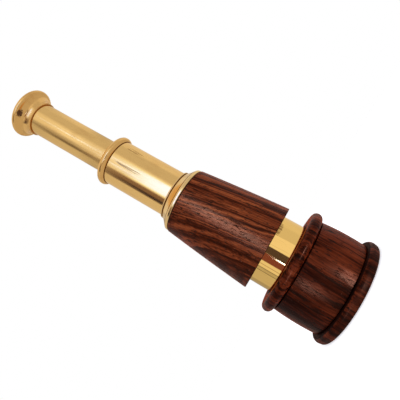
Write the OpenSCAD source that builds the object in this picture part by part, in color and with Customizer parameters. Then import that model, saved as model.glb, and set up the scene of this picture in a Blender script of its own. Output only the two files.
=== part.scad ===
// Hand-held two-draw spyglass: brass tubes, turned rosewood barrel and pull-off rosewood lens cap.
// It stands on the front face of its cap, eyepiece up, with the cap drawn part of the way off.

/* [Lens cap] */
// Overall length of the wooden lens cap
cap_len = 27.9; // [27:0.1:30]
// Diameter of the cap's body halfway between its rims
cap_body_d = 41; // [40:0.1:42]
// Diameter of the cap's body where it meets the rims
cap_waist_d = 40.2; // [39.4:0.1:40.8]
// Diameter over the front rim
cap_front_rim_d = 45.2; // [44.6:0.1:46.4]
// Diameter over the rear rim
cap_rear_rim_d = 45.2; // [44.2:0.1:46.2]
// Thickness of the cap's closed front
cap_floor = 4.4; // [3.6:0.1:4.8]
// Diameter of the cap's bore, which the felt lining fills
cap_bore_d = 32.8; // [32:0.1:34]
// Length of brass that shows between the cap and the barrel
cap_gap = 9.0; // [8.9:0.1:10]

/* [Barrel] */
// Length of the wooden barrel
barrel_len = 40.2; // [39:0.1:44]
// Diameter of the barrel's wide, front end
barrel_front_d = 37.1; // [36:0.1:38]
// Diameter of the barrel's narrow, rear end
barrel_rear_d = 29.9; // [29.7:0.1:31]
// Swell of the barrel's side beyond a straight taper
barrel_swell = 0.15; // [0:0.05:0.4]
// Diameter of the bore that the draw tubes slide back into
barrel_bore_d = 24.4; // [24.2:0.1:25]
// Depth that the objective tube is let into the barrel's front end
tube_seat_depth = 13.5; // [10:0.5:16]

/* [Tubes] */
// Outside diameter of the objective tube
objective_tube_d = 29.7; // [29.4:0.1:30]
// Outside diameter of the second, wider draw tube
second_draw_d = 20.8; // [20.6:0.1:21]
// Outside diameter of the first, narrower draw tube
first_draw_d = 15; // [14.8:0.1:15.1]
// Wall thickness of the objective tube and the second draw tube
tube_wall = 0.8; // [0.7:0.05:0.9]
// Wall thickness of the first draw tube
first_wall = 0.7; // [0.6:0.05:0.8]
// Length of the second draw tube that shows when drawn out
second_draw_show = 30.3; // [29.5:0.1:32]
// Length of the first draw tube that shows when drawn out
first_draw_show = 40.9; // [40:0.1:42]

/* [Brass fittings] */
// Length of the ferrule's flared part, in front of the second draw tube
ferrule_len = 5.8; // [5.4:0.1:6.4]
// Largest diameter of the ferrule, where it meets the wood
ferrule_d = 29.4; // [29:0.1:29.6]
// Length of the ferrule's spigot inside the barrel
ferrule_spigot_len = 8; // [7:0.5:9]
// Length of the bead on the draw collar
bead_len = 3.5; // [3.2:0.1:4]
// Diameter over the bead
bead_d = 23.5; // [23:0.1:24]
// Length of the draw collar's spigot inside the second draw tube
collar_spigot_len = 7.5; // [6:0.5:9]
// Length of the eyecup
eyecup_len = 8.2; // [8:0.1:9]
// Diameter over the eyecup's flared rim
eyecup_d = 23.4; // [22:0.1:24]
// Diameter of the eyecup's skirt where it meets the first draw tube
eyecup_skirt_d = 16.4; // [16.2:0.1:17]
// Diameter of the eye hole
eye_hole_d = 8.8; // [7:0.1:9]

/* [Optics] */
// Radius of curvature of both faces of the objective lens
objective_curve = 75; // [70:1:90]
// Thickness of the objective lens at its centre
objective_thick = 3.8; // [3.6:0.1:4]
// Radius of curvature of both faces of the erecting lens
erector_curve = 12; // [12:0.5:14]
// Thickness of the erecting lens at its centre
erector_thick = 3.8; // [3.6:0.1:4]
// Radius of curvature of both faces of the eye lens
eye_curve = 18; // [18:0.5:20]
// Thickness of the eye lens at its centre
eye_thick = 3.4; // [3.2:0.1:3.6]

/* [Hidden] */
$fn = 128;

brass = "goldenrod";
wood = "saddlebrown";
felt = "dimgray";
glass = "lightblue";

// Radial clearance of a running fit, and the gap left at a draw tube's stop
run_fit = 0.05;
stop_gap = 0.2;

// Radii
objective_r = objective_tube_d / 2;
objective_in = objective_r - tube_wall;
second_r = second_draw_d / 2;
second_in = second_r - tube_wall;
first_r = first_draw_d / 2;
first_in = first_r - first_wall;
barrel_bore = barrel_bore_d / 2;
ferrule_r = ferrule_d / 2;
bead_r = bead_d / 2;
cap_bore = cap_bore_d / 2;
spigot_wall = 0.9;

// Stations along the axis, from the cap's front face up to the eye end
z_front = cap_len + cap_gap;
z_ferrule = z_front + barrel_len;
z_second = z_ferrule + ferrule_len;
z_bead = z_second + second_draw_show;
z_first = z_bead + bead_len;
z_eyecup = z_first + first_draw_show;
z_top = z_eyecup + eyecup_len;

// Inner ends of the tubes
z_objective = 14.2;
z_tube_seat = z_front + tube_seat_depth;
z_spigot = z_ferrule - ferrule_spigot_len;
z_collar = z_bead - collar_spigot_len;
stop_len = 5;
z_second_end = z_spigot - stop_gap - stop_len;
z_first_end = z_collar - stop_gap - stop_len;
z_first_top = z_eyecup + 2.6;

// Places of the optical parts
z_objective_lens = z_objective + 4.5;
z_erector = z_first_end + 15.6;
z_field_stop = z_erector + 24;
z_eye_lens = z_first_top - 1.2;

// Points on an arc of an ellipse: its centre [r, z], its half axes [r, z] and its two end angles
function arc(centre, half, from, to, steps = 8) = [
    for (i = [0:steps])
        let (a = from + (to - from) * i / steps)
        [centre[0] + half[0] * cos(a), centre[1] + half[1] * sin(a)]
];

// Points between two ends [r, z], swelling outwards by the given amount at the middle
function swelled(from, to, swell, steps = 8) = [
    for (i = [0:steps])
        let (t = i / steps)
        [from[0] + (to[0] - from[0]) * t + 4 * swell * t * (1 - t), from[1] + (to[1] - from[1]) * t]
];

// A solid turned about the axis from an outline of [r, z] points
module turned(outline) {
    rotate_extrude() polygon(outline);
}

// A plain tube between two radii and two heights, with a small chamfer on its four edges
module sleeve(inner, outer, bottom, top, chamfer = 0.15) {
    turned([
        [inner + chamfer, bottom], [outer - chamfer, bottom],
        [outer, bottom + chamfer], [outer, top - chamfer],
        [outer - chamfer, top], [inner + chamfer, top],
        [inner, top - chamfer], [inner, bottom + chamfer]
    ]);
}

// A biconvex lens of two equal spherical faces, ground to a round edge
module biconvex(curve, thick, radius, centre) {
    translate([0, 0, centre])
        intersection() {
            translate([0, 0, thick / 2 - curve]) sphere(curve, $fn = 256);
            translate([0, 0, curve - thick / 2]) sphere(curve, $fn = 256);
            translate([0, 0, -thick]) cylinder(r = radius, h = 2 * thick);
        }
}

// A retaining ring with two spanner slots in its lower face
module slotted_ring(inner, outer, bottom, top, slot_w = 1.2, slot_deep = 0.9) {
    difference() {
        sleeve(inner, outer, bottom, top);
        translate([-outer - 1, -slot_w / 2, bottom - 1])
            cube([2 * outer + 2, slot_w, slot_deep + 1]);
    }
}

module wood_barrel() {
    chamfer = 0.4;
    front_r = barrel_front_d / 2;
    rear_r = barrel_rear_d / 2;
    color(wood)
        turned(concat(
            [[front_r - 0.15, z_front]],
            swelled([front_r, z_front + 0.15], [rear_r, z_ferrule - chamfer], barrel_swell, 12),
            [
                [rear_r - chamfer, z_ferrule],
                [barrel_bore, z_ferrule],
                [barrel_bore, z_tube_seat],
                [objective_r, z_tube_seat],
                [objective_r, z_front + 0.3],
                [objective_r + 0.3, z_front]
            ]
        ));
}

module barrel_ferrule() {
    neck_r = second_r + 0.5;
    lip = 0.7;
    shoulder_z = z_ferrule + 0.9;
    flare_hollow = 0.12;
    color(brass)
        turned(concat(
            [[second_r + run_fit, z_second - 0.15], [second_r + run_fit, z_second - 2.6]],
            [[barrel_bore - spigot_wall, z_second - 2.6], [barrel_bore - spigot_wall, z_spigot]],
            [[barrel_bore - 0.2, z_spigot], [barrel_bore, z_spigot + 0.2], [barrel_bore, z_ferrule]],
            [[ferrule_r - 0.25, z_ferrule]],
            [[ferrule_r, z_ferrule + 0.25]],
            swelled([ferrule_r, shoulder_z], [neck_r, z_second - lip], -flare_hollow, 12),
            arc([neck_r, z_second - lip / 2], [lip / 2, lip / 2], -60, 90, 6),
            [[second_r + run_fit + 0.15, z_second]]
        ));
}

module ferrule_lining() {
    color(felt)
        sleeve(second_r + run_fit, barrel_bore - spigot_wall, z_spigot + 0.4, z_second - 2.6);
}

module objective_tube() {
    color(brass)
        sleeve(objective_in, objective_r, z_objective, z_tube_seat);
}

module objective_seat() {
    seat_z = z_objective_lens + 0.9;
    color(brass)
        sleeve(objective_in - 1.45, objective_in, seat_z, seat_z + 2);
}

module objective_lens() {
    color(glass)
        biconvex(objective_curve, objective_thick, objective_in - 0.15, z_objective_lens);
}

module objective_ring() {
    ring_z = z_objective_lens - 0.9;
    color(brass)
        slotted_ring(objective_in - 1.45, objective_in, ring_z - 2.6, ring_z);
}

module second_draw_tube() {
    color(brass)
        sleeve(second_in, second_r, z_second_end, z_bead, 0.2);
}

module draw_collar() {
    bead_half = bead_len / 2;
    bead_centre = bead_r - bead_half;
    color(brass)
        turned(concat(
            [[first_r + run_fit, z_first - 0.15], [first_r + run_fit, z_first - 2]],
            [[second_in - spigot_wall, z_first - 2], [second_in - spigot_wall, z_collar]],
            [[second_in - 0.2, z_collar], [second_in, z_collar + 0.2], [second_in, z_bead]],
            arc([bead_centre, z_bead + bead_half], [bead_half, bead_half], -88, 88, 16),
            [[first_r + run_fit + 0.15, z_first]]
        ));
}

module collar_lining() {
    color(felt)
        sleeve(first_r + run_fit, second_in - spigot_wall, z_collar + 0.4, z_first - 2);
}

module second_draw_stop() {
    color(brass)
        sleeve(second_r, barrel_bore - 0.2, z_second_end, z_second_end + stop_len);
}

module first_draw_tube() {
    color(brass)
        sleeve(first_in, first_r, z_first_end, z_first_top, 0.1);
}

module first_draw_stop() {
    color(brass)
        sleeve(first_r, second_in - 0.1, z_first_end, z_first_end + stop_len);
}

module eyecup() {
    skirt_r = eyecup_skirt_d / 2;
    rim_r = eyecup_d / 2;
    rim_z = z_top - 1.5;
    rim_half = 1.5;
    bowl_z = z_first_top + 1.6;
    flare_r = rim_r - 0.5;
    color(brass)
        turned(concat(
            [[first_r, z_first_top], [first_r, z_eyecup + 0.15], [first_r + 0.15, z_eyecup]],
            [[skirt_r - 0.15, z_eyecup], [skirt_r, z_eyecup + 0.15], [skirt_r - 0.1, z_eyecup + 0.6]],
            arc([flare_r, z_eyecup + 0.7], [flare_r - skirt_r + 0.1, rim_z - z_eyecup - 1.9], 170, 100, 8),
            arc([rim_r - rim_half, rim_z], [rim_half, 1.5], -40, 110, 12),
            arc([rim_r - 2.4, bowl_z + 0.1], [4.8, 3.9], 93, 172, 8),
            [[eye_hole_d / 2, bowl_z], [eye_hole_d / 2, z_first_top]]
        ));
}

module eye_lens() {
    color(glass)
        biconvex(eye_curve, eye_thick, first_in - 0.2, z_eye_lens);
}

module eye_lens_ring() {
    ring_z = z_eye_lens - 0.95;
    color(brass)
        slotted_ring(first_in - 1.4, first_in, ring_z - 2, ring_z);
}

module field_stop() {
    color(brass)
        sleeve(3.6, first_in, z_field_stop, z_field_stop + 0.8);
}

module erector_cell() {
    cell_in = first_in - 0.8;
    shoulder_z = z_erector + 1;
    color(brass)
        turned([
            [cell_in, shoulder_z - 6], [first_in, shoulder_z - 6],
            [first_in, shoulder_z + 4], [cell_in, shoulder_z + 4],
            [4.6, shoulder_z + 1.4], [4.6, shoulder_z], [cell_in, shoulder_z]
        ]);
}

module erector_lens() {
    color(glass)
        biconvex(erector_curve, erector_thick, first_in - 0.9, z_erector);
}

module erector_ring() {
    ring_z = z_erector - 1;
    color(brass)
        slotted_ring(4.8, first_in - 0.8, ring_z - 2, ring_z);
}

module lens_cap() {
    front_r = cap_front_rim_d / 2;
    rear_r = cap_rear_rim_d / 2;
    waist_r = cap_waist_d / 2;
    swell = (cap_body_d - cap_waist_d) / 2;
    groove = 0.6;
    front_groove_z = 4.3;
    rear_groove_z = cap_len - 4.7;
    rear_half = (cap_len - rear_groove_z) / 2 - 0.1;
    color(wood)
        turned(concat(
            [[0, 0]],
            arc([front_r - 1.6, 1.4], [1.4, 1.4], -90, -8, 6),
            arc([front_r - 1.5, 2.4], [1.5, 2], 0, 75, 6),
            [[waist_r - groove, front_groove_z]],
            swelled([waist_r, front_groove_z + 0.4], [waist_r, rear_groove_z - 0.4], swell, 10),
            [[waist_r - groove, rear_groove_z]],
            arc([rear_r - 2.3, cap_len - rear_half], [2.3, rear_half], -68, 90, 14),
            [[cap_bore + 0.6, cap_len], [cap_bore, cap_len - 0.6], [cap_bore, cap_floor], [0, cap_floor]]
        ));
}

module cap_lining() {
    color(felt)
        sleeve(objective_r + run_fit, cap_bore, cap_floor + 3, cap_len - 3.4);
}

wood_barrel();
barrel_ferrule();
ferrule_lining();
objective_tube();
objective_seat();
objective_lens();
objective_ring();
second_draw_tube();
draw_collar();
collar_lining();
second_draw_stop();
first_draw_tube();
first_draw_stop();
eyecup();
eye_lens();
eye_lens_ring();
field_stop();
erector_cell();
erector_lens();
erector_ring();
lens_cap();
cap_lining();
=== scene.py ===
"""Looks for the two-draw spyglass: turned pieces, procedural materials, a white studio and the camera."""

import math

import bmesh
import bpy
from mathutils import Matrix, Vector


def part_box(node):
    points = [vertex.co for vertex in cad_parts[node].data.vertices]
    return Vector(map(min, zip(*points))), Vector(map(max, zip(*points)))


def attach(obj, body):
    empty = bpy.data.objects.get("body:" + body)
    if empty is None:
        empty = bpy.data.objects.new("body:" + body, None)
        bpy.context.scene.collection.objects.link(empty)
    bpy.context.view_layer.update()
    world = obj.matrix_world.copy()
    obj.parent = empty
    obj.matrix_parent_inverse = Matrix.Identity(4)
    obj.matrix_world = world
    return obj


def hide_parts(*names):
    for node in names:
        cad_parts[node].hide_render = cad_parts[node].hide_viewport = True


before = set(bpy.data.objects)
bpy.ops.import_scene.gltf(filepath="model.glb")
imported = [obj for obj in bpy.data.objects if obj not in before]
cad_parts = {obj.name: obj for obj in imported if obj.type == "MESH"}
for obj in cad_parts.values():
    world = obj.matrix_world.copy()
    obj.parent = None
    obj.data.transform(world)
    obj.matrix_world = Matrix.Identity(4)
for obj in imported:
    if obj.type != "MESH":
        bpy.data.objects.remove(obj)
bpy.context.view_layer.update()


# ---------------------------------------------------------------- sizes

# The object's sizes are in millimetres, as in the CAD source, until lathe() turns them into metres.
MM = 0.001


def heights(node):
    """The lowest and highest points of a CAD node, to the nearest tenth of a millimetre."""
    low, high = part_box(node)
    return round(low.z / MM, 1), round(high.z / MM, 1)


def widest(node):
    """The largest radius of a turned CAD node, to the nearest hundredth of a millimetre."""
    return round(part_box(node)[1].x / MM, 2)


# Heights along the axis, from the cap's front face up to the eye end, then the largest radii.
Z_FRONT, Z_FERRULE = heights("wood_barrel")
Z_OBJECTIVE, Z_TUBE_SEAT = heights("objective_tube")
Z_SPIGOT, Z_SECOND = heights("barrel_ferrule")
Z_SECOND_END, Z_BEAD = heights("second_draw_tube")
Z_COLLAR, Z_FIRST = heights("draw_collar")
Z_FIRST_END, Z_FIRST_TOP = heights("first_draw_tube")
Z_EYECUP, Z_TOP = heights("eyecup")
CAP_LEN = heights("lens_cap")[1]

BARREL_R = widest("wood_barrel")
OBJECTIVE_R = widest("objective_tube")
FERRULE_R = widest("barrel_ferrule")
SECOND_R = widest("second_draw_tube")
BEAD_R = widest("draw_collar")
FIRST_R = widest("first_draw_tube")
EYECUP_R = widest("eyecup")
CAP_R = widest("lens_cap")

# Sizes inside the pieces, which their boxes don't give.
BARREL_BORE = 12.2
TUBE_WALL = 0.8
FIRST_WALL = 0.7
SPIGOT_WALL = 0.9
RUN_FIT = 0.05
OBJECTIVE_IN = OBJECTIVE_R - TUBE_WALL
SECOND_IN = SECOND_R - TUBE_WALL
FIRST_IN = FIRST_R - FIRST_WALL

# The cap's two cut grooves.
FRONT_GROOVE_Z = 4.3
REAR_GROOVE_Z = CAP_LEN - 4.7

# Faces round a turned piece, the angle from which an edge is shaded as sharp, and the scale of the UVs.
SEGMENTS = 192
SHARP_ANGLE = math.radians(30)
UV_PER_MM = 0.01

# How many steps round a corner, how much of the side beside it the rounding may take, and how far past the
# rounding its support point lies: a length, or a share of a short side.
CORNER_STEPS = 4
CORNER_SHARE = 0.4
SUPPORT = 0.08
SUPPORT_SHARE = 0.08


def on_side(azimuth, radius, z):
    """A point at a radius and a height, at so many degrees from the camera's side (-Y) towards +X."""
    a = math.radians(azimuth)
    return radius * math.sin(a), -radius * math.cos(a), z


# ---------------------------------------------------------------- outlines

def arc(centre, half, start, end, steps):
    """Points on an arc of an ellipse, from one angle to another in degrees."""
    points = []
    for i in range(steps + 1):
        a = math.radians(start + (end - start) * i / steps)
        points.append((centre[0] + half[0] * math.cos(a), centre[1] + half[1] * math.sin(a)))
    return points


def swelled(start, end, swell, steps):
    """Points between two ends that swell outwards at the middle."""
    points = []
    for i in range(steps + 1):
        t = i / steps
        r = start[0] + (end[0] - start[0]) * t + 4 * swell * t * (1 - t)
        points.append((r, start[1] + (end[1] - start[1]) * t))
    return points


def tube(inner, outer, bottom, top, edge):
    """The outline of a plain tube with rounded ends."""
    return [(inner, bottom, edge), (outer, bottom, edge), (outer, top, edge), (inner, top, edge)]


def soften(outline):
    """Rounds each corner of a closed outline that is written (r, z, radius).
    A support point just past each rounding keeps the straight side beside it straight in the shading too."""
    made = []
    for i, point in enumerate(outline):
        here = Vector(point[:2])
        if len(point) < 3:
            made.append(here)
            continue
        before = Vector(outline[i - 1][:2]) - here
        after = Vector(outline[(i + 1) % len(outline)][:2]) - here
        reach = min(point[2], before.length * CORNER_SHARE, after.length * CORNER_SHARE)
        a = here + before.normalized() * reach
        b = here + after.normalized() * reach
        made.append(a + before.normalized() * min(SUPPORT, before.length * SUPPORT_SHARE))
        for k in range(CORNER_STEPS + 1):
            t = k / CORNER_STEPS
            made.append(a * (1 - t) ** 2 + here * 2 * t * (1 - t) + b * t * t)
        made.append(b + after.normalized() * min(SUPPORT, after.length * SUPPORT_SHARE))
    return made


def lathe(name, outline, body, node, material):
    """Turns a closed outline of (r, z) about the Z axis into a solid, which rides on a body, stands for a CAD
    node and takes its finish from a slot."""
    points = soften(outline)
    bm = bmesh.new()
    rings = []
    for point in points:
        r, z = point[0] * MM, point[1] * MM
        if r < 1e-7:
            rings.append([bm.verts.new((0, 0, z))])
            continue
        ring = []
        for k in range(SEGMENTS):
            a = 2 * math.pi * k / SEGMENTS
            ring.append(bm.verts.new((r * math.cos(a), r * math.sin(a), z)))
        rings.append(ring)
    uv = bm.loops.layers.uv.new("UVMap")
    length = 0.0
    for i, ring in enumerate(rings):
        j = (i + 1) % len(rings)
        other = rings[j]
        if len(ring) == 1 and len(other) == 1:
            continue
        low = length * UV_PER_MM
        length += (points[j] - points[i]).length
        high = length * UV_PER_MM
        for k in range(SEGMENTS):
            corners = [(ring, k, low), (other, k, high), (other, k + 1, high), (ring, k + 1, low)]
            # A ring on the axis is one point, so the face there is a triangle.
            if len(other) == 1:
                del corners[2]
            if len(ring) == 1:
                del corners[3]
            face = bm.faces.new([at[m % len(at)] for at, m, _ in corners])
            for loop, (_, m, v) in zip(face.loops, corners):
                loop[uv].uv = (m / SEGMENTS, v)
    bmesh.ops.recalc_face_normals(bm, faces=bm.faces)
    mesh = bpy.data.meshes.new(name)
    bm.to_mesh(mesh)
    bm.free()
    finish_mesh(mesh, material)
    piece = bpy.data.objects.new(name, mesh)
    bpy.context.scene.collection.objects.link(piece)
    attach(piece, body)
    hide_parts(node)


def finish_mesh(mesh, material):
    """Gives a mesh its material and smooth shading with sharp edges."""
    mesh.materials.clear()
    mesh.materials.append(material)
    mesh.shade_smooth()
    mesh.set_sharp_from_angle(angle=SHARP_ANGLE)


# ---------------------------------------------------------------- shader writing

class Graph:
    """A node tree whose nodes are written as short calls."""

    def __init__(self, tree):
        self.nodes = tree.nodes
        self.links = tree.links
        self.nodes.clear()

    def feed(self, socket, value):
        """Joins a socket to another node's output, or sets it to a plain value."""
        if isinstance(value, bpy.types.NodeSocket):
            self.links.new(value, socket)
        elif socket.type == "RGBA" and len(value) == 3:
            socket.default_value = (*value, 1)
        else:
            socket.default_value = value

    def math(self, operation, a, b=None):
        node = self.nodes.new("ShaderNodeMath")
        node.operation = operation
        self.feed(node.inputs[0], a)
        if b is not None:
            self.feed(node.inputs[1], b)
        return node.outputs[0]

    def total(self, *terms):
        """Adds up terms that are written (value, weight)."""
        result = None
        for value, weight in terms:
            if weight != 1:
                value = self.math("MULTIPLY", value, weight)
            result = value if result is None else self.math("ADD", result, value)
        return result

    def vector(self, operation, a, b=None, scale=None):
        node = self.nodes.new("ShaderNodeVectorMath")
        node.operation = operation
        self.feed(node.inputs[0], a)
        if b is not None:
            self.feed(node.inputs[1], b)
        if scale is not None:
            node.inputs["Scale"].default_value = scale
        return node.outputs["Value" if operation == "LENGTH" else "Vector"]

    def parts(self, vector):
        """The x, y and z of a vector."""
        node = self.nodes.new("ShaderNodeSeparateXYZ")
        self.feed(node.inputs[0], vector)
        return node.outputs

    def join(self, x, y, z):
        node = self.nodes.new("ShaderNodeCombineXYZ")
        for socket, value in zip(node.inputs, (x, y, z)):
            self.feed(socket, value)
        return node.outputs[0]

    def remap(self, value, low, high, to_low=0.0, to_high=1.0, smooth=False):
        """Carries a value from one range over to another, and holds it at the other's ends."""
        node = self.nodes.new("ShaderNodeMapRange")
        node.interpolation_type = "SMOOTHSTEP" if smooth else "LINEAR"
        self.feed(node.inputs["Value"], value)
        node.inputs["From Min"].default_value = low
        node.inputs["From Max"].default_value = high
        node.inputs["To Min"].default_value = to_low
        node.inputs["To Max"].default_value = to_high
        return node.outputs[0]

    def mix(self, factor, a, b, blend="MIX"):
        """Blends colour b over colour a by a factor from 0 to 1."""
        node = self.nodes.new("ShaderNodeMix")
        node.data_type = "RGBA"
        node.blend_type = blend
        self.feed(node.inputs[0], factor)
        self.feed(node.inputs[6], a)
        self.feed(node.inputs[7], b)
        return node.outputs[2]

    def ramp(self, value, stops):
        """Colours by value: stops are (position, (r, g, b))."""
        node = self.nodes.new("ShaderNodeValToRGB")
        self.feed(node.inputs[0], value)
        elements = node.color_ramp.elements
        while len(elements) < len(stops):
            elements.new(0.5)
        for element, (position, colour) in zip(elements, stops):
            element.position = position
            element.color = (*colour, 1)
        return node.outputs[0]

    def noise(self, place, detail=2.0, rough=0.5, distortion=0.0):
        """Noise with cells one unit wide, at a vector, or along one direction only at a single value."""
        node = self.nodes.new("ShaderNodeTexNoise")
        if place.type == "VALUE":
            node.noise_dimensions = "1D"
            self.feed(node.inputs["W"], place)
        else:
            self.feed(node.inputs["Vector"], place)
        node.inputs["Scale"].default_value = 1
        node.inputs["Detail"].default_value = detail
        node.inputs["Roughness"].default_value = rough
        node.inputs["Distortion"].default_value = distortion
        return node.outputs[0]


class Shader(Graph):
    """A material on a Principled shader. Lengths in its textures are millimetres."""

    def __init__(self, name):
        self.material = bpy.data.materials.new(name)
        self.material.use_nodes = True
        super().__init__(self.material.node_tree)
        self.surface = self.nodes.new("ShaderNodeBsdfPrincipled")
        out = self.nodes.new("ShaderNodeOutputMaterial")
        self.links.new(self.surface.outputs[0], out.inputs["Surface"])
        where = self.nodes.new("ShaderNodeTexCoord").outputs["Object"]
        self.place = self.vector("SCALE", where, scale=1 / MM)
        self.x, self.y, self.z = self.parts(self.place)
        self.radius = self.math("SQRT", self.math("ADD", self.math("MULTIPLY", self.x, self.x),
                                                  self.math("MULTIPLY", self.y, self.y)))

    def set(self, **values):
        """Sets inputs of the surface shader by name, with _ for a space."""
        for name, value in values.items():
            self.feed(self.surface.inputs[name.replace("_", " ")], value)

    def stretched(self, across, along, shift=0.0, base=None):
        """Places measured in cells that are so wide across and so long along the object's axis."""
        moved = self.vector("ADD", self.place if base is None else base, (shift, shift * 0.7, shift * 1.3))
        return self.vector("MULTIPLY", moved, (1 / across, 1 / across, 1 / along))

    def near(self, z, half):
        """1 in a band round the height z, falling smoothly to 0 at half on either side."""
        away = self.math("ABSOLUTE", self.math("SUBTRACT", self.z, z))
        return self.remap(away, half * 0.35, half, 1, 0, smooth=True)

    def near_point(self, point, half_width, half_length):
        """1 close to a point, falling smoothly to 0 at so far from it across and along the axis."""
        away = self.vector("SUBTRACT", self.place, point)
        away = self.vector("MULTIPLY", away, (1 / half_width, 1 / half_width, 1 / half_length))
        return self.remap(self.vector("LENGTH", away), 0.3, 1, 1, 0, smooth=True)

    def bump(self, height, distance, under=None):
        """Raises the surface by height times distance, in millimetres, over another bump if there is one."""
        node = self.nodes.new("ShaderNodeBump")
        node.inputs["Strength"].default_value = 1
        node.inputs["Distance"].default_value = distance * MM
        self.feed(node.inputs["Height"], height)
        if under is not None:
            self.feed(node.inputs["Normal"], under)
        self.links.new(node.outputs[0], self.surface.inputs["Normal"])
        return node.outputs[0]


# ---------------------------------------------------------------- colours

BRASS = (0.93, 0.575, 0.20)
BRASS_BAND = (0.95, 0.60, 0.18)
BRASS_RED = (0.86, 0.50, 0.165)
BRASS_PALE = (0.90, 0.60, 0.26)
BRASS_WORN = (0.30, 0.17, 0.06)
GOLDEN_EDGE = (1.0, 0.92, 0.78)
DULLING = (0.80, 0.70, 0.62)
SCRATCHED = (0.50, 0.29, 0.09)
TARNISH = (0.36, 0.19, 0.06)
# Grime and painted shade in the seams between pieces and at their steps.
SEAM_GRIME_AND_SHADE = (0.15, 0.048, 0.018)
# A painted dark reflection, laid on the eyecup's flare.
PAINTED_DARK_REFLECTION = (0.07, 0.02, 0.015)
BORE_BLACK = (0.012, 0.010, 0.009)
PART_BLACK = (0.022, 0.018, 0.016)

WOOD_FIBRE = (0.5, 0.42, 0.40)
WOOD_VEIN = (0.010, 0.0025, 0.0015)
WOOD_BLACK = (0.006, 0.002, 0.0015)
WARM_OIL = (1.0, 0.72, 0.52)
OIL_FILM = (1.0, 0.92, 0.89)
BARREL_TONES = [
    (0.367, (0.035, 0.0068, 0.0024)),
    (0.417, (0.074, 0.0145, 0.0045)),
    (0.467, (0.155, 0.0335, 0.0105)),
    (0.517, (0.220, 0.0530, 0.0165)),
    (0.577, (0.300, 0.0800, 0.0235)),
]
CAP_TONES = [
    (0.37, (0.012, 0.0012, 0.0004)),
    (0.43, (0.049, 0.0068, 0.0017)),
    (0.49, (0.112, 0.0190, 0.0054)),
    (0.55, (0.160, 0.0310, 0.0100)),
    (0.61, (0.220, 0.0520, 0.0180)),
]

WOOL_TONES = [(0.3, (0.010, 0.009, 0.010)), (0.7, (0.045, 0.040, 0.042))]
GLASS_TINT = (0.97, 0.99, 0.98)


# ---------------------------------------------------------------- materials

def rubbed(s, colour, roughness, rubs_and_reflections, seed):
    """Brass with patches in broken streaks that run along the axis: tarnished wear, and a painted dark
    reflection.
    """
    broken_streaks = s.noise(s.stretched(0.3, 9, seed + 7), detail=3, rough=0.7)
    for azimuth, radius, z, half_width, half_length, density, patch_colour in rubs_and_reflections:
        spot = s.near_point(on_side(azimuth, radius, z), half_width, half_length)
        rub = s.remap(s.total((broken_streaks, 1), (spot, density)), 0.94, 1.04, 0, 0.9, smooth=True)
        colour = s.mix(rub, colour, patch_colour)
        roughness = s.total((roughness, 1), (rub, 0.2))
    return colour, roughness


def seam_grime_and_shade(s, colour, roughness, seams, seed):
    """Brass with a dark ring of grime and painted shade in each seam."""
    seam_darkening = 0.0
    for z, half in seams:
        seam_darkening = s.math("MAXIMUM", seam_darkening, s.near(z, half))
    patchy = s.remap(s.noise(s.stretched(2.2, 2.2, seed + 6), detail=3), 0.3, 0.62, 0.72, 1.0)
    seam_darkening = s.math("MULTIPLY", seam_darkening, patchy)
    return s.mix(seam_darkening, colour, SEAM_GRIME_AND_SHADE), s.total((roughness, 1), (seam_darkening, 0.35))


def brass(name, rough, tone=BRASS, tarnish=0.35, turned=False, line_depth=0.004, bore=None, seed=0.0,
          seams=(), rubs_and_reflections=()):
    """Polished brass with fine marks that run along the axis, or round it where it was turned.
    rough is its least and greatest roughness, and tarnish how strong its dull clouds are.
    It is black inside the radius bore.
    Each seam is the height and the half width of a ring of grime and painted shade.
    Each rub, or the painted dark reflection, is a patch's azimuth, radius, height, half width, half length,
    density and colour."""
    s = Shader(name)
    if turned:
        rings = s.join(s.math("MULTIPLY", s.radius, 4.5), s.math("MULTIPLY", s.z, 4.5),
                       s.math("MULTIPLY", s.math("ARCTAN2", s.y, s.x), 0.35))
        fine = s.noise(rings, detail=3, rough=0.6)
        broad = s.noise(s.stretched(2.4, 2.4, seed))
        scratch = s.noise(s.stretched(0.5, 0.5, seed + 4), rough=0.6)
    else:
        fine = s.noise(s.stretched(0.32, 40, seed))
        broad = s.noise(s.stretched(1.3, 60, seed + 9))
        scratch = s.noise(s.stretched(0.3, 12, seed + 4), detail=1)
    cloud = s.noise(s.stretched(5, 12, seed + 2), detail=4, rough=0.62)
    stain = s.remap(cloud, 0.50, 0.74, 0, tarnish, smooth=True)
    line = s.remap(scratch, 0.66, 0.78, 0, 0.4, smooth=True)
    colour = s.mix(stain, tone, tuple(c * k for c, k in zip(tone, DULLING)))
    colour = s.mix(line, colour, SCRATCHED)
    roughness = s.total((s.remap(fine, 0.25, 0.75, *rough), 1), (stain, 0.12))
    if rubs_and_reflections:
        colour, roughness = rubbed(s, colour, roughness, rubs_and_reflections, seed)
    if seams:
        colour, roughness = seam_grime_and_shade(s, colour, roughness, seams, seed)
    if bore is not None:
        inside = s.remap(s.radius, bore + 0.05, bore + 0.3, 1, 0)
        colour = s.mix(inside, colour, BORE_BLACK)
        roughness = s.total((roughness, 1), (inside, 0.4))
    s.bump(s.total((broad, 2.2), (fine, 1), (line, -1.5)), line_depth)
    s.set(Base_Color=colour, Metallic=1.0, Roughness=roughness, Specular_Tint=GOLDEN_EDGE)
    return s.material


def blackened(name):
    """Chemically blackened brass of the parts inside the tubes, rubbed bright on a few high spots."""
    s = Shader(name)
    rub = s.remap(s.noise(s.stretched(1.6, 1.6), detail=4, rough=0.7), 0.66, 0.8, 0, 0.5)
    grain = s.noise(s.stretched(0.25, 0.25), detail=3)
    s.bump(grain, 0.01)
    s.set(Base_Color=s.mix(rub, PART_BLACK, BRASS_WORN), Metallic=0.8,
          Roughness=s.remap(grain, 0.3, 0.7, 0.42, 0.62))
    return s.material


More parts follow.
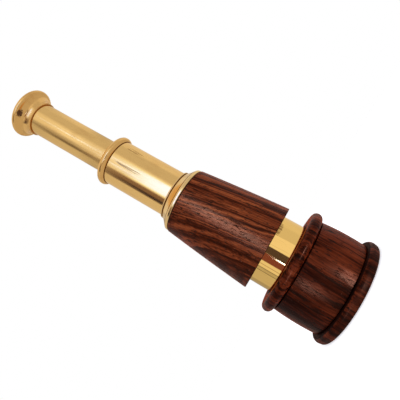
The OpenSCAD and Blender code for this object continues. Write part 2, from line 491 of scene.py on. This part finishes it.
def rosewood(name, tones, facing, lean, layered, streak, shade, veins, edges, seed):
    """Oiled rosewood cut from a solid block, its growth layers facing so many degrees from X towards Y.
    lean is how far the grain leans that way for each step along the axis.
    layered is how far its figure follows the layers rather than streaks that run with the grain, and streak
    is how wide those are.
    shade is how much darker the wood is made towards -X and the front, partly its own tone and partly painted
    shade, and veins how dark its black lines are.
    Each edge is the height, the half width and the strength of a dark ring: stain and painted shade at a
    joint or groove, and painted shade alone at the cap's front rim."""
    s = Shader(name)
    turn = math.radians(facing)
    leaning = s.vector("SCALE", s.join(s.z, s.z, 0.0), scale=lean)
    grain = s.vector("ADD", s.place, s.vector("MULTIPLY", leaning, (math.cos(turn), math.sin(turn), 0)))
    grain_x, grain_y, _ = s.parts(grain)

    def along(across, length, shift, detail=2, rough=0.5):
        """Noise in cells that lie along the grain."""
        return s.noise(s.stretched(across, length, seed + shift, grain), detail=detail, rough=rough)

    depth = s.total((grain_x, math.cos(turn)), (grain_y, math.sin(turn)))
    depth = s.total((depth, 1), (along(9, 50, 0, detail=1), 4.5), (along(1.6, 16, 5), 0.9))
    layers = s.noise(s.math("ADD", s.math("DIVIDE", depth, 3.0), seed), detail=1)
    lines = s.noise(s.math("ADD", s.math("DIVIDE", depth, 0.85), seed), detail=1, rough=0.7)
    streaks = along(streak, 48, 1)
    threads = along(0.70, 13, 3, rough=0.7)
    fibre = along(0.36, 4.0, 2, rough=0.7)
    tone = s.total((layers, 0.28 * layered), (lines, 0.42 * layered), (streaks, 0.70 * (1 - layered)),
                   (threads, 0.23))
    # Darker towards -X and the front: partly the wood's own tone, partly painted shade.
    lower = s.total((s.x, -1.0), (s.z, -0.28))
    colour = s.ramp(s.math("SUBTRACT", tone, s.remap(lower, -22, 2, 0, shade)), tones)

    vein = s.remap(along(streak * 0.5, 26, 13, rough=0.6), 0.59, 0.65, 0, veins, smooth=True)
    pore = s.remap(along(0.42, 2.6, 8, detail=1), 0.62, 0.70, 0, 0.9, smooth=True)
    # Dark rings of stain and painted shade at joints and grooves, and of painted shade at the cap's front
    # rim.
    dark = 0.0
    for z, half, strength in edges:
        dark = s.math("MAXIMUM", dark, s.math("MULTIPLY", s.near(z, half), strength))
    colour = s.mix(s.remap(fibre, 0.40, 0.62, 0.0, 0.42), colour, WOOD_FIBRE, "MULTIPLY")
    colour = s.mix(vein, colour, WOOD_VEIN)
    colour = s.mix(pore, colour, WOOD_BLACK)
    colour = s.mix(dark, colour, WOOD_BLACK)
    roughness = s.total((s.remap(fibre, 0.3, 0.7, 0.22, 0.34), 1), (pore, 0.3), (dark, 0.3))
    waves = s.bump(along(2.6, 12, 7), 0.12)
    s.bump(s.total((fibre, 0.8), (pore, -1.2)), 0.05, waves)
    s.set(Base_Color=colour, Roughness=roughness, IOR=1.17, Specular_IOR_Level=0.33, Specular_Tint=WARM_OIL)
    s.set(Coat_Weight=1.0, Coat_IOR=1.0, Coat_Roughness=0.3, Coat_Tint=OIL_FILM)
    return s.material


def felted(name):
    """Dark wool felt."""
    s = Shader(name)
    wool = s.noise(s.stretched(0.35, 0.35), detail=5, rough=0.7, distortion=0.6)
    tuft = s.noise(s.stretched(1.4, 1.4, 3), detail=3, rough=0.6)
    s.bump(wool, 0.08, s.bump(tuft, 0.12))
    s.set(Base_Color=s.ramp(wool, WOOL_TONES), Roughness=s.remap(wool, 0.3, 0.7, 0.85, 1.0))
    s.set(Sheen_Weight=0.35, Sheen_Roughness=0.6)
    return s.material


def glass(name):
    """Clear optical glass with a trace of dust and wiping marks."""
    s = Shader(name)
    dust = s.noise(s.stretched(0.6, 0.6), detail=5, rough=0.7)
    wipe = s.noise(s.stretched(3.5, 3.5, 2), distortion=1.5)
    roughness = s.math("ADD", s.remap(dust, 0.62, 0.8, 0.0, 0.10), s.remap(wipe, 0.5, 0.8, 0.0, 0.03))
    s.bump(wipe, 0.0006)
    s.set(Base_Color=GLASS_TINT, Roughness=roughness, IOR=1.52, Transmission_Weight=1.0)
    s.set(Coat_Weight=0.3, Coat_Roughness=0.02)
    return s.material


first_draw_brass = brass(
    "brass_first_draw", rough=(0.11, 0.19), tarnish=0.45, bore=FIRST_IN, seed=1.0,
    seams=[(Z_EYECUP, 0.1), (Z_FIRST, 0.15)])
second_draw_brass = brass(
    "brass_second_draw", rough=(0.10, 0.18), bore=SECOND_IN, seed=31.0,
    seams=[(Z_BEAD, 0.15)],
    rubs_and_reflections=[(1, SECOND_R, Z_BEAD - 9.7, 1.5, 13, 0.5, TARNISH),
          (50, SECOND_R, Z_BEAD - 7.2, 2.4, 9, 0.47, TARNISH)])
objective_brass = brass(
    "brass_objective_tube", rough=(0.03, 0.07), tone=BRASS_BAND, tarnish=0.25, line_depth=0.0003,
    bore=OBJECTIVE_IN, seed=57.0,
    rubs_and_reflections=[(38, OBJECTIVE_R, Z_FRONT - 0.5, 8, 1.8, 0.5, TARNISH)])
collar_brass = brass(
    "brass_collar", rough=(0.13, 0.21), tone=BRASS_RED, tarnish=0.5, turned=True, seed=12.0,
    seams=[(Z_BEAD, 0.2)])
# The eyecup's dark patch is a painted reflection.
eyecup_brass = brass(
    "brass_eyecup", rough=(0.16, 0.26), tone=BRASS_RED, tarnish=0.5, turned=True, seed=23.0,
    seams=[(Z_EYECUP - 0.1, 0.15)],
    rubs_and_reflections=[(-14, EYECUP_R - 1.5, Z_TOP - 3.2, 3.4, 1.7, 0.64, PAINTED_DARK_REFLECTION)])
ferrule_brass = brass(
    "brass_ferrule", rough=(0.12, 0.22), tone=BRASS_PALE, tarnish=0.3, turned=True, seed=44.0,
    seams=[(Z_FERRULE, 0.2), (Z_FERRULE + 1.92, 0.2), (Z_SECOND - 0.7, 0.2)])
barrel_wood = rosewood(
    "rosewood_barrel", BARREL_TONES, facing=25, lean=0.105, layered=0.85, streak=2.0, shade=0.06, veins=0.8,
    edges=[(Z_FRONT, 0.3, 0.9), (Z_FERRULE, 0.5, 0.9)], seed=9.0)
# The broad dark ring at the cap's front rim is painted shade.
cap_wood = rosewood(
    "rosewood_cap", CAP_TONES, facing=0, lean=-0.03, layered=0.25, streak=3.0, shade=0.035, veins=0.95,
    edges=[(FRONT_GROOVE_Z, 0.4, 0.9), (REAR_GROOVE_Z, 0.4, 0.9), (1.4, 3.0, 0.42)], seed=8.0)
black = blackened("blackened_brass")
felt = felted("felt")
lens_glass = glass("lens_glass")


# ---------------------------------------------------------------- pieces

def wood_barrel():
    """Tapered, slightly swelled barrel with a sharp wide end and a chamfer at the ferrule."""
    rear_r = 14.95
    chamfer = 0.4
    lathe("barrel_turning", [
        (BARREL_R - 0.15, Z_FRONT, 0.08),
        *swelled((BARREL_R, Z_FRONT + 0.15), (rear_r, Z_FERRULE - chamfer), 0.15, 24),
        (rear_r - chamfer, Z_FERRULE, 0.1), (BARREL_BORE, Z_FERRULE),
        (BARREL_BORE, Z_TUBE_SEAT), (OBJECTIVE_R, Z_TUBE_SEAT),
        (OBJECTIVE_R, Z_FRONT + 0.3), (OBJECTIVE_R + 0.3, Z_FRONT),
    ], "barrel", "wood_barrel", barrel_wood)


def barrel_ferrule():
    """Spigot in the wood, rounded rim, hollow flare and a lip at the second draw."""
    rim = 1.0
    neck_r = SECOND_R + 0.5
    lip = 0.7
    lathe("ferrule_turning", [
        (SECOND_R + RUN_FIT, Z_SECOND - 0.15), (SECOND_R + RUN_FIT, Z_SECOND - 2.6),
        (BARREL_BORE - SPIGOT_WALL, Z_SECOND - 2.6), (BARREL_BORE - SPIGOT_WALL, Z_SPIGOT),
        (BARREL_BORE - 0.2, Z_SPIGOT), (BARREL_BORE, Z_SPIGOT + 0.2), (BARREL_BORE, Z_FERRULE),
        (FERRULE_R - 0.25, Z_FERRULE, 0.05), (FERRULE_R, Z_FERRULE + 0.25, 0.2),
        *arc((FERRULE_R - rim, Z_FERRULE + 0.85), (rim, rim), 0, 60, 12),
        (FERRULE_R - 0.75, Z_FERRULE + 1.85),
        *swelled((FERRULE_R - 0.8, Z_FERRULE + 2.0), (neck_r, Z_SECOND - lip), -0.15, 20),
        *arc((neck_r, Z_SECOND - lip / 2), (lip / 2, lip / 2), -60, 90, 12),
        (SECOND_R + RUN_FIT + 0.15, Z_SECOND),
    ], "barrel", "barrel_ferrule", ferrule_brass)


def tubes():
    """The objective tube and the two draw tubes."""
    lathe("objective_tube_drawn", tube(OBJECTIVE_IN, OBJECTIVE_R, Z_OBJECTIVE, Z_TUBE_SEAT, 0.3),
          "barrel", "objective_tube", objective_brass)
    lathe("second_draw_drawn", tube(SECOND_IN, SECOND_R, Z_SECOND_END, Z_BEAD, 0.3),
          "second_draw", "second_draw_tube", second_draw_brass)
    lathe("first_draw_drawn", tube(FIRST_IN, FIRST_R, Z_FIRST_END, Z_FIRST_TOP, 0.25),
          "first_draw", "first_draw_tube", first_draw_brass)


def draw_collar():
    """Spigot in the second draw tube and a round bead over its end."""
    bead_half = (Z_FIRST - Z_BEAD) / 2
    lathe("collar_turning", [
        (FIRST_R + RUN_FIT, Z_FIRST - 0.15), (FIRST_R + RUN_FIT, Z_FIRST - 2),
        (SECOND_IN - SPIGOT_WALL, Z_FIRST - 2), (SECOND_IN - SPIGOT_WALL, Z_COLLAR),
        (SECOND_IN - 0.2, Z_COLLAR), (SECOND_IN, Z_COLLAR + 0.2), (SECOND_IN, Z_BEAD),
        *arc((BEAD_R - bead_half, Z_BEAD + bead_half), (bead_half, bead_half), -88, 88, 40),
        (FIRST_R + RUN_FIT + 0.15, Z_FIRST),
    ], "second_draw", "draw_collar", collar_brass)


def eyecup():
    """Skirt at the first draw tube, hollow flare, rounded rim and a bowl down to the eye hole."""
    skirt_r = 8.2
    hole_r = 4.4
    rim = 1.5
    flare_r = EYECUP_R - 0.5
    flare_len = Z_TOP - rim - Z_EYECUP - 1.9
    bowl_z = Z_FIRST_TOP + 1.6
    lathe("eyecup_turning", [
        (FIRST_R, Z_FIRST_TOP), (FIRST_R, Z_EYECUP + 0.15), (FIRST_R + 0.15, Z_EYECUP),
        (skirt_r - 0.15, Z_EYECUP), (skirt_r, Z_EYECUP + 0.15), (skirt_r - 0.1, Z_EYECUP + 0.6),
        *arc((flare_r, Z_EYECUP + 0.7), (flare_r - skirt_r + 0.1, flare_len), 170, 100, 24),
        *arc((EYECUP_R - rim, Z_TOP - rim), (rim, rim), -40, 110, 32),
        *arc((EYECUP_R - 2.4, bowl_z + 0.1), (4.8, 3.9), 93, 172, 24),
        (hole_r, bowl_z, 0.2), (hole_r, Z_FIRST_TOP),
    ], "first_draw", "eyecup", eyecup_brass)


def lens_cap():
    """Closed front, stepped front rim, swelled body between two cut grooves and a round rear rim."""
    front_r = CAP_R - 0.2
    waist_r = 20.1
    groove_r = waist_r - 0.6
    rear_half = (CAP_LEN - REAR_GROOVE_Z) / 2 - 0.1
    bore = 16.4
    floor_z = 4.4
    lathe("cap_turning", [
        (0, 0),
        *arc((front_r - 1.4, 1.4), (1.4, 1.4), -90, -8, 14),
        *arc((CAP_R - 1.5, 2.4), (1.5, 2), 0, 75, 14),
        (groove_r, FRONT_GROOVE_Z, 0.12),
        *swelled((waist_r, FRONT_GROOVE_Z + 0.4), (waist_r, REAR_GROOVE_Z - 0.4), 0.4, 24),
        (groove_r, REAR_GROOVE_Z, 0.12),
        *arc((CAP_R - 2.3, CAP_LEN - rear_half), (2.3, rear_half), -68, 90, 36),
        (bore + 0.6, CAP_LEN), (bore, CAP_LEN - 0.6, 0.2), (bore, floor_z), (0, floor_z),
    ], "lens_cap", "lens_cap", cap_wood)


wood_barrel()
barrel_ferrule()
tubes()
draw_collar()
eyecup()
lens_cap()

# The CAD nodes that are shown as they are.
for material, kept_nodes in (
    (felt, ["ferrule_lining", "collar_lining", "cap_lining"]),
    (lens_glass, ["objective_lens", "erector_lens", "eye_lens"]),
    (black, ["objective_seat", "objective_ring", "second_draw_stop", "first_draw_stop", "eye_lens_ring",
             "field_stop", "erector_cell", "erector_ring"]),
):
    for node in kept_nodes:
        finish_mesh(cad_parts[node].data, material)


# ---------------------------------------------------------------- studio

# What the object sees round it, as soft-edged panels laid over each other on a pale surround.
# Azimuths run from the side of the camera, positive towards +X, and elevations are above the horizon.
# An upright tube mirrors what lies at the elevation at which the camera looks up at it, so each tube has rows
# of its own.
# Each row: azimuth from and to, its edge; elevation from and to, its edge; red, green and blue radiance.
PANELS = [
    # Walls.
    (36, 92, 6, 5, 60, 3, 0.64, 0.64, 0.64),
    (-180, -82, 8, 5, 26, 0.6, 0.70, 0.70, 0.70),
    # What the first draw tube mirrors.
    (86, 180, 10, 26, 29, 1.2, 0.54, 0.54, 0.54),
    (86, 180, 10, 34, 42, 1.2, 0.66, 0.66, 0.66),
    (-180, -46, 8, 26, 28.3, 0.8, 0.43, 0.43, 0.43),
    (-180, -66, 8, 28.3, 34, 1, 0.66, 0.66, 0.66),
    (-180, -64, 6, 34, 42, 1.2, 0.57, 0.57, 0.57),
    (-36, 36, 5, 25.5, 29, 0.8, 0.74, 0.74, 0.77),
    (-21, 24, 6, 29, 34.5, 1.5, 1.06, 1.12, 1.20),
    (-21, 36, 6, 34.5, 42, 1.5, 0.82, 0.82, 0.82),
    (0, 3, 1, 28.5, 33.5, 1, 1.9, 3.0, 7.0),
    (-50, -30, 5, 29, 42, 1.2, 0.50, 0.50, 0.50),
    (-69, -47, 5, 28.3, 34.8, 1.2, 0.17, 0.15, 0.14),
    (-59, -45, 5, 34.2, 38, 1, 0.28, 0.26, 0.26),
    # What the second draw tube mirrors.
    (-76.5, -37, 3.5, 5, 25.8, 0.6, 0.235, 0.17, 0.155),
    (-74.5, -59, 2.5, 5, 23, 3.5, 0.045, 0.035, 0.06),
    (-37, 34, 5, 12, 25.8, 0.6, 0.95, 0.95, 0.98),
    (-33, 29, 4, 12, 23, 2, 1.08, 1.45, 1.6),
    (-28, 23, 3, 12, 20.5, 2, 1.25, 1.85, 4.8),
    (-24, 19, 4, 20, 22.5, 1.5, 1.15, 1.65, 3.2),
    (-26, 21, 4, 22, 25.8, 1, 1.02, 1.12, 1.30),
    (10, 13.5, 1, 20, 25.6, 1, 1.3, 1.9, 4.0),
    (-18.5, -15, 1, 20, 25.6, 1, 1.3, 1.9, 4.0),
    # The ground.
    (-180, 180, 10, -90, -5.2, 0.6, 0.62, 0.60, 0.58),
    # What the objective tube mirrors.
    (48, 95, 6, -5.2, 3, 0.6, 0.72, 0.72, 0.72),
    (9, 52, 1, -5.2, 3, 0.6, 0.95, 0.95, 0.98),
    (-175, -118, 12, -5.2, 3, 0.6, 0.42, 0.42, 0.42),
    (-118, -76, 4, -5.2, 3, 0.6, 0.60, 0.60, 0.60),
    (-76, -56, 1, -5.2, 3, 0.6, 0.54, 0.54, 0.54),
    (-75, -73, 1, -5.2, 3, 0.6, 0.16, 0.16, 0.16),
    (-63, -61, 1, -5.2, 3, 0.6, 0.22, 0.22, 0.22),
    (-60, -40, 1, -5.2, 3, 0.6, 0.86, 0.86, 0.86),
    (-51.5, -49.5, 0.8, -5.2, 3, 0.6, 0.42, 0.36, 0.3),
    (-39, -13, 1, -5.2, 3, 0.6, 0.22, 0.075, 0.085),
    (-13, 9, 1, -5.2, 3, 0.6, 0.095, 0.07, 0.085),
    (-15, -12, 0.6, -5.2, -2, 0.6, 0.02, 0.01, 0.01),
    (-18.5, -15, 0.5, -5.2, -2.5, 0.4, 5.0, 6.5, 14.0),
]
SURROUND = (0.80, 0.80, 0.80)
WHITE = (1.0, 1.0, 1.0)


def within(room, value, low, high, edge):
    """1 between low and high, with a soft edge that is centred on each end."""
    return room.math("MULTIPLY", room.remap(value, low - edge, low + edge, 0, 1, smooth=True),
                     room.remap(value, high - edge, high + edge, 1, 0, smooth=True))


def studio():
    """Lights the object with the panels, while the camera sees plain white behind it."""
    world = bpy.data.worlds.new("studio")
    world.use_nodes = True
    bpy.context.scene.world = world
    room = Graph(world.node_tree)
    x, y, z = room.parts(room.nodes.new("ShaderNodeTexCoord").outputs["Generated"])
    azimuth = room.math("DEGREES", room.math("ARCTAN2", x, room.math("MULTIPLY", y, -1)))
    elevation = room.math("DEGREES", room.math("ARCSINE", z))
    seen = SURROUND
    for az_0, az_1, az_edge, el_0, el_1, el_edge, *radiance in PANELS:
        inside = room.math("MULTIPLY", within(room, azimuth, az_0, az_1, az_edge),
                           within(room, elevation, el_0, el_1, el_edge))
        seen = room.mix(inside, seen, radiance)
    both = room.nodes.new("ShaderNodeMixShader")
    room.feed(both.inputs[0], room.nodes.new("ShaderNodeLightPath").outputs["Is Camera Ray"])
    for socket, colour in zip(both.inputs[1:], (seen, WHITE)):
        background = room.nodes.new("ShaderNodeBackground")
        room.feed(background.inputs["Color"], colour)
        room.feed(socket, background.outputs[0])
    room.feed(room.nodes.new("ShaderNodeOutputWorld").inputs["Surface"], both.outputs[0])


# Small soft lamps that light only one piece of wood each, and give it its satin highlights.
# Each row: name, the piece, azimuth and elevation as seen from a height on the axis, that height in
# millimetres, the lamp's width and length in metres, its power in watts and its colour.
LAMPS = [
    ("barrel_lamp", "barrel_turning", 2, 17, 52, 0.18, 0.22, 10.5, (1.0, 0.76, 0.76)),
    ("cap_front_lamp", "cap_turning", 31, -19, 7, 0.04, 0.07, 6.0, (1.0, 0.62, 0.60)),
    ("cap_middle_lamp", "cap_turning", -28, -4, 17, 0.02, 0.08, 3.2, (1.0, 0.62, 0.60)),
]
# Their distance from the axis, in metres.
LAMP_DISTANCE = 0.6


def lamp(name, piece, azimuth, elevation, height, width, length, power, colour):
    """A rectangular lamp that faces the axis and shows in one piece's highlights only."""
    light = bpy.data.lights.new(name, "AREA")
    light.shape = "RECTANGLE"
    light.size = width
    light.size_y = length
    light.energy = power
    light.color = colour
    rise = math.radians(elevation)
    away = Vector(on_side(azimuth, math.cos(rise), math.sin(rise)))
    placed = bpy.data.objects.new(name, light)
    placed.location = Vector((0, 0, height * MM)) + LAMP_DISTANCE * away
    placed.rotation_mode = "QUATERNION"
    placed.rotation_quaternion = away.to_track_quat("Z", "Y")
    placed.visible_diffuse = False
    bpy.context.scene.collection.objects.link(placed)
    lit = bpy.data.collections.new("lit_by_" + name)
    lit.objects.link(bpy.data.objects[piece])
    placed.light_linking.receiver_collection = lit
    placed.light_linking.blocker_collection = lit


# The floor's radius and its depth below the cap, in metres, and the radii between which it fades,
# in millimetres.
FLOOR_RADIUS = 0.6
FLOOR_DROP = 0.0002
FADE = (220, 560)


def floor():
    """A wide pale disc that fades into the white behind it, and stays under the cap when the cap slides."""
    mesh = bpy.data.meshes.new("floor")
    bm = bmesh.new()
    bmesh.ops.create_circle(bm, cap_ends=True, segments=96, radius=FLOOR_RADIUS)
    bm.to_mesh(mesh)
    bm.free()
    disc = bpy.data.objects.new("floor", mesh)
    disc.location = (0, 0, -FLOOR_DROP)
    disc.visible_glossy = False
    bpy.context.scene.collection.objects.link(disc)
    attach(disc, "lens_cap")
    paper = Shader("floor_paper")
    paper.set(Base_Color=(0.9, 0.9, 0.9), Roughness=0.9, Specular_IOR_Level=0.0,
              Emission_Color=WHITE, Emission_Strength=0.62,
              Alpha=paper.remap(paper.radius, *FADE, 1, 0, smooth=True))
    mesh.materials.append(paper.material)


# The camera's place in metres, its roll and upward pitch in degrees, and its lens and sensor in millimetres.
CAMERA_PLACE = (0.00359, -0.16737, 0.0381)
CAMERA_ROLL = 60.5
CAMERA_PITCH = 11.41
CAMERA_LENS = 35.4
CAMERA_SENSOR = 36


def camera():
    """The camera, which looks along +Y and a little up, rolled so that the eye end is at the upper left."""
    camera_data = bpy.data.cameras.new("camera")
    camera_data.lens = CAMERA_LENS
    camera_data.sensor_width = CAMERA_SENSOR
    camera_data.clip_start = 0.005
    roll = math.radians(CAMERA_ROLL)
    pitch = math.radians(CAMERA_PITCH)
    level = Vector((1, 0, 0))
    ahead = Vector((0, math.cos(pitch), math.sin(pitch)))
    right = level * math.cos(roll) - level.cross(ahead) * math.sin(roll)
    turned = Matrix((right, right.cross(ahead), -ahead)).transposed()
    placed = bpy.data.objects.new("camera", camera_data)
    placed.matrix_world = Matrix.Translation(CAMERA_PLACE) @ turned.to_4x4()
    bpy.context.scene.collection.objects.link(placed)
    bpy.context.scene.camera = placed


studio()
for row in LAMPS:
    lamp(*row)
floor()
camera()
bpy.context.scene.view_settings.view_transform = "Standard"
